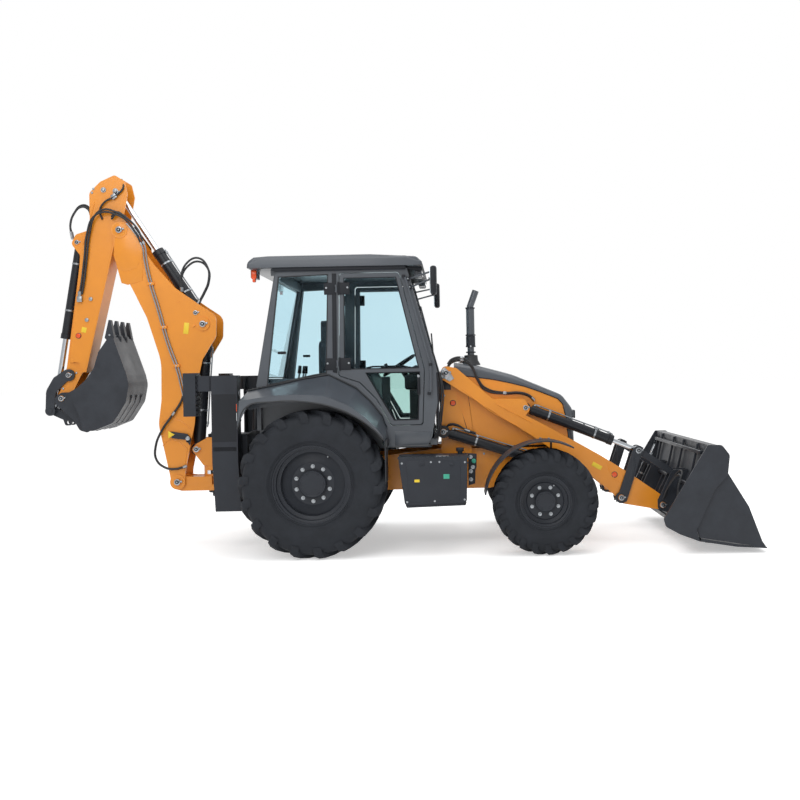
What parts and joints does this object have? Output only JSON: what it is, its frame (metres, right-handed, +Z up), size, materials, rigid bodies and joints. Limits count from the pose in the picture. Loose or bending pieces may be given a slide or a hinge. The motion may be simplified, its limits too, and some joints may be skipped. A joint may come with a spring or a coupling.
{
  "type": "backhoe loader",
  "caption": "Wheeled backhoe loader with a front loader and opening clam bucket, cab, rear excavator arm on a swing post and two stabiliser legs.",
  "frame": {"origin": "middle of the bounding box at the ground, under the machine", "axes": "+X forward, +Y to the machine's left, +Z up"},
  "size_m": [7.11, 2.3, 3.8345],
  "materials": {
    "body_paint": "gloss",
    "dark_paint": "satin",
    "tyre": "matte",
    "rim_paint": "satin",
    "glass": "gloss",
    "chrome": "polished",
    "seat_fabric": "matte"
  },
  "bodies": {
    "chassis": {"frame": "body_paint", "front_axle": "body_paint", "drivetrain": "dark_paint", "cab_frame": "dark_paint", "cab_roof": "dark_paint", "cab_glass": "glass", "fenders": "dark_paint", "seat": "seat_fabric", "side_boxes": "dark_paint", "exhaust": "dark_paint", "swing_barrel_right": "dark_paint", "swing_barrel_left": "dark_paint"},
    "hood": {"hood_sides": "body_paint", "hood_cover": "dark_paint"},
    "door_right": {"door_right": "dark_paint", "door_glass_right": "glass"},
    "knuckle_right": {"knuckle_right": "dark_paint"},
    "front_wheel_right": {"front_tyre_right": "tyre", "front_rim_right": "rim_paint"},
    "rear_wheel_right": {"rear_tyre_right": "tyre", "rear_rim_right": "rim_paint"},
    "swing_rod_right": {"swing_rod_right": "chrome"},
    "stabilizer_right": {"stabilizer_right": "dark_paint"},
    "stab_barrel_right": {"stab_barrel_right": "dark_paint"},
    "stab_rod_right": {"stab_rod_right": "chrome"},
    "door_left": {"door_left": "dark_paint", "door_glass_left": "glass"},
    "knuckle_left": {"knuckle_left": "dark_paint"},
    "front_wheel_left": {"front_tyre_left": "tyre", "front_rim_left": "rim_paint"},
    "rear_wheel_left": {"rear_tyre_left": "tyre", "rear_rim_left": "rim_paint"},
    "swing_rod_left": {"swing_rod_left": "chrome"},
    "stabilizer_left": {"stabilizer_left": "dark_paint"},
    "stab_barrel_left": {"stab_barrel_left": "dark_paint"},
    "stab_rod_left": {"stab_rod_left": "chrome"},
    "loader_arms": {"loader_arms": "body_paint"},
    "tilt_levers": {"tilt_levers": "dark_paint"},
    "tilt_links": {"tilt_links": "dark_paint"},
    "loader_bucket": {"loader_bucket": "dark_paint"},
    "bucket_clam": {"bucket_clam": "dark_paint"},
    "swing_post": {"swing_post": "body_paint"},
    "boom": {"boom": "body_paint"},
    "dipper": {"dipper": "body_paint"},
    "extension": {"extension": "body_paint"},
    "idler": {"idler": "dark_paint"},
    "tip_link": {"tip_link": "dark_paint"},
    "hoe_bucket": {"hoe_bucket": "dark_paint"},
    "lift_barrel": {"lift_barrel": "dark_paint"},
    "lift_rod": {"lift_rod": "chrome"},
    "tilt_barrel": {"tilt_barrel": "dark_paint"},
    "tilt_rod": {"tilt_rod": "chrome"},
    "clam_barrel": {"clam_barrel": "dark_paint"},
    "clam_rod": {"clam_rod": "chrome"},
    "boom_ram_barrel": {"boom_ram_barrel": "dark_paint"},
    "boom_ram_rod": {"boom_ram_rod": "chrome"},
    "dipper_ram_barrel": {"dipper_ram_barrel": "dark_paint"},
    "dipper_ram_rod": {"dipper_ram_rod": "chrome"},
    "hoe_ram_barrel": {"hoe_ram_barrel": "dark_paint"},
    "hoe_ram_rod": {"hoe_ram_rod": "chrome"}
  },
  "joints": [
    {"name": "steer_right", "type": "hinge", "parent": "chassis", "child": "knuckle_right", "pos_m": [1.519, -0.735, 0.5], "axis": [0, 0, 1], "range_deg": [-32, 32]},
    {"name": "steer_left", "type": "hinge", "parent": "chassis", "child": "knuckle_left", "pos_m": [1.519, 0.735, 0.5], "axis": [0, 0, 1], "range_deg": [-32, 32]},
    {"name": "front_wheel_spin_right", "type": "hinge", "parent": "knuckle_right", "child": "front_wheel_right", "pos_m": [1.519, -0.94, 0.5], "axis": [0, 1, 0], "continuous": true},
    {"name": "rear_wheel_spin_right", "type": "hinge", "parent": "chassis", "child": "rear_wheel_right", "pos_m": [-0.671, -0.88, 0.7], "axis": [0, 1, 0], "continuous": true},
    {"name": "front_wheel_spin_left", "type": "hinge", "parent": "knuckle_left", "child": "front_wheel_left", "pos_m": [1.519, 0.94, 0.5], "axis": [0, 1, 0], "continuous": true},
    {"name": "rear_wheel_spin_left", "type": "hinge", "parent": "chassis", "child": "rear_wheel_left", "pos_m": [-0.671, 0.88, 0.7], "axis": [0, 1, 0], "continuous": true},
    {"name": "door_hinge_right", "type": "hinge", "parent": "chassis", "child": "door_right", "pos_m": [-0.439, -0.764, 2.2], "axis": [0, 0, -1], "range_deg": [0, 85]},
    {"name": "door_hinge_left", "type": "hinge", "parent": "chassis", "child": "door_left", "pos_m": [-0.439, 0.764, 2.2], "axis": [0, 0, 1], "range_deg": [0, 85]},
    {"name": "hood_hinge", "type": "hinge", "parent": "chassis", "child": "hood", "pos_m": [1.849, 0, 0.94], "axis": [0, 1, 0], "range_deg": [0, 55]},
    {"name": "loader_lift", "type": "hinge", "parent": "chassis", "child": "loader_arms", "pos_m": [0.602, 0, 1.725], "axis": [0, -1, 0], "range_deg": [-3, 75]},
    {"name": "lift_barrel_pivot", "type": "hinge", "parent": "chassis", "child": "lift_barrel", "pos_m": [0.565, 0, 1.14], "axis": [0, -1, 0], "range_deg": [-2.82, 69.11]},
    {"name": "lift_rod_slide", "type": "slide", "parent": "lift_barrel", "child": "lift_rod", "axis": [0.951, 0, -0.3092], "range_m": [-0.0292, 0.7145]},
    {"name": "bucket_tilt", "type": "hinge", "parent": "loader_arms", "child": "loader_bucket", "pos_m": [2.728, 0, 0.376], "axis": [0, 1, 0], "range_deg": [-35, 100]},
    {"name": "tilt_lever_pivot", "type": "hinge", "parent": "loader_arms", "child": "tilt_levers", "pos_m": [2.317, 0, 0.456], "axis": [0, 1, 0], "range_deg": [-22.46, 64.06]},
    {"name": "tilt_link_pivot", "type": "hinge", "parent": "tilt_levers", "child": "tilt_links", "pos_m": [2.498, 0, 0.92], "axis": [0, 1, 0], "range_deg": [-45.06, 15.81]},
    {"name": "tilt_barrel_pivot", "type": "hinge", "parent": "loader_arms", "child": "tilt_barrel", "pos_m": [1.388, 0, 1.365], "axis": [0, 1, 0], "range_deg": [-2.58, 7.27]},
    {"name": "tilt_rod_slide", "type": "slide", "parent": "tilt_barrel", "child": "tilt_rod", "axis": [0.9282, 0, -0.3721], "range_m": [-0.1836, 0.5233]},
    {"name": "bucket_open", "type": "hinge", "parent": "loader_bucket", "child": "bucket_clam", "pos_m": [3.105, 0, 0.751], "axis": [0, -1, 0], "range_deg": [0, 70]},
    {"name": "clam_barrel_pivot", "type": "hinge", "parent": "loader_bucket", "child": "clam_barrel", "pos_m": [2.759, 0, 0.35], "axis": [0, -1, 0], "range_deg": [-0.37, 0.06]},
    {"name": "clam_rod_slide", "type": "slide", "parent": "clam_barrel", "child": "clam_rod", "axis": [0.4266, 0, 0.9044], "range_m": [-0.1857, 0.0006]},
    {"name": "swing", "type": "hinge", "parent": "chassis", "child": "swing_post", "pos_m": [-1.828, 0, 0.7], "axis": [0, 0, 1], "range_deg": [-90, 90]},
    {"name": "swing_rod_slide_right", "type": "slide", "parent": "chassis", "child": "swing_rod_right", "axis": [-1, 0, 0], "range_m": [-0.1577, 0.1577]},
    {"name": "swing_rod_slide_left", "type": "slide", "parent": "chassis", "child": "swing_rod_left", "axis": [-1, 0, 0], "range_m": [-0.1577, 0.1577]},
    {"name": "boom_lift", "type": "hinge", "parent": "swing_post", "child": "boom", "pos_m": [-2.187, 0, 0.655], "axis": [0, -1, 0], "range_deg": [0, 118]},
    {"name": "boom_barrel_pivot", "type": "hinge", "parent": "swing_post", "child": "boom_ram_barrel", "pos_m": [-2.001, 0, 0.985], "axis": [0, -1, 0], "range_deg": [-0.06, 124.1]},
    {"name": "boom_rod_slide", "type": "slide", "parent": "boom_ram_barrel", "child": "boom_ram_rod", "axis": [0.0816, 0, 0.9967], "range_m": [-0.0006, 0.6092]},
    {"name": "dipper_swing", "type": "hinge", "parent": "boom", "child": "dipper", "pos_m": [-2.738, 0, 3.264], "axis": [0, 1, 0], "range_deg": [0, 115]},
    {"name": "dipper_barrel_pivot", "type": "hinge", "parent": "boom", "child": "dipper_ram_barrel", "pos_m": [-1.971, 0, 2.397], "axis": [0, 1, 0], "range_deg": [-0.06, 10.48]},
    {"name": "dipper_rod_slide", "type": "slide", "parent": "dipper_ram_barrel", "child": "dipper_ram_rod", "axis": [-0.5394, 0, 0.8421], "range_m": [-0.6328, 0.0006]},
    {"name": "extension_slide", "type": "slide", "parent": "dipper", "child": "extension", "axis": [-0.2257, 0, -0.9742], "range_m": [0, 1]},
    {"name": "hoe_bucket_curl", "type": "hinge", "parent": "extension", "child": "hoe_bucket", "pos_m": [-3.375, 0, 1.538], "axis": [0, 1, 0], "range_deg": [0, 160]},
    {"name": "idler_pivot", "type": "hinge", "parent": "extension", "child": "idler", "pos_m": [-3.305, 0, 1.778], "axis": [0, 1, 0], "range_deg": [-0.06, 92.86]},
    {"name": "tip_link_pivot", "type": "hinge", "parent": "idler", "child": "tip_link", "pos_m": [-3.503, 0, 1.412], "axis": [0, 1, 0], "range_deg": [-24.06, 0.06]},
    {"name": "hoe_barrel_pivot", "type": "hinge", "parent": "extension", "child": "hoe_ram_barrel", "pos_m": [-3.2, 0, 3.154], "axis": [0, 1, 0], "range_deg": [-0.06, 13.88]},
    {"name": "hoe_rod_slide", "type": "slide", "parent": "hoe_ram_barrel", "child": "hoe_ram_rod", "axis": [-0.1714, 0, -0.9852], "range_m": [-0.4686, 0.0006]},
    {"name": "stabilizer_right", "type": "hinge", "parent": "chassis", "child": "stabilizer_right", "pos_m": [-1.541, -0.62, 0.47], "axis": [-1, 0, 0], "range_deg": [-100, 0]},
    {"name": "stab_barrel_pivot_right", "type": "hinge", "parent": "stabilizer_right", "child": "stab_barrel_right", "pos_m": [-1.541, -0.69, 1.56], "axis": [-1, 0, 0], "range_deg": [-10.91, 0.06]},
    {"name": "stab_rod_slide_right", "type": "slide", "parent": "stab_barrel_right", "child": "stab_rod_right", "axis": [0, 0.1686, -0.9857], "range_m": [-0.0006, 0.4409]},
    {"name": "stabilizer_left", "type": "hinge", "parent": "chassis", "child": "stabilizer_left", "pos_m": [-1.541, 0.62, 0.47], "axis": [1, 0, 0], "range_deg": [-100, 0]},
    {"name": "stab_barrel_pivot_left", "type": "hinge", "parent": "stabilizer_left", "child": "stab_barrel_left", "pos_m": [-1.541, 0.69, 1.56], "axis": [1, 0, 0], "range_deg": [-10.91, 0.06]},
    {"name": "stab_rod_slide_left", "type": "slide", "parent": "stab_barrel_left", "child": "stab_rod_left", "axis": [0, -0.1686, -0.9857], "range_m": [-0.0006, 0.4409]}
  ],
  "couplings": [
    {"joint": "steer_left", "follows": "steer_right", "ratio": 1},
    {"joint": "lift_barrel_pivot", "follows": "loader_lift", "ratio": 0.9207},
    {"joint": "lift_rod_slide", "follows": "loader_lift", "m_per_rad": 0.5454},
    {"joint": "tilt_lever_pivot", "follows": "bucket_tilt", "ratio": 0.64},
    {"joint": "tilt_link_pivot", "follows": "bucket_tilt", "ratio": -0.45},
    {"joint": "tilt_barrel_pivot", "follows": "bucket_tilt", "ratio": 0.0721},
    {"joint": "tilt_rod_slide", "follows": "bucket_tilt", "m_per_rad": 0.2995},
    {"joint": "clam_barrel_pivot", "follows": "bucket_open", "ratio": -0.0044},
    {"joint": "clam_rod_slide", "follows": "bucket_open", "m_per_rad": -0.1515},
    {"joint": "swing_rod_slide_right", "follows": "swing", "m_per_rad": -0.1},
    {"joint": "swing_rod_slide_left", "follows": "swing", "m_per_rad": 0.1},
    {"joint": "boom_barrel_pivot", "follows": "boom_lift", "ratio": 1.0512},
    {"joint": "boom_rod_slide", "follows": "boom_lift", "m_per_rad": 0.2955},
    {"joint": "dipper_barrel_pivot", "follows": "dipper_swing", "ratio": 0.0906},
    {"joint": "dipper_rod_slide", "follows": "dipper_swing", "m_per_rad": -0.315},
    {"joint": "idler_pivot", "follows": "hoe_bucket_curl", "ratio": 0.58},
    {"joint": "tip_link_pivot", "follows": "hoe_bucket_curl", "ratio": -0.15},
    {"joint": "hoe_barrel_pivot", "follows": "hoe_bucket_curl", "ratio": 0.0864},
    {"joint": "hoe_rod_slide", "follows": "hoe_bucket_curl", "m_per_rad": -0.1676},
    {"joint": "stab_barrel_pivot_right", "follows": "stabilizer_right", "ratio": 0.1085},
    {"joint": "stab_rod_slide_right", "follows": "stabilizer_right", "m_per_rad": -0.2523},
    {"joint": "stab_barrel_pivot_left", "follows": "stabilizer_left", "ratio": 0.1085},
    {"joint": "stab_rod_slide_left", "follows": "stabilizer_left", "m_per_rad": -0.2523}
  ]
}
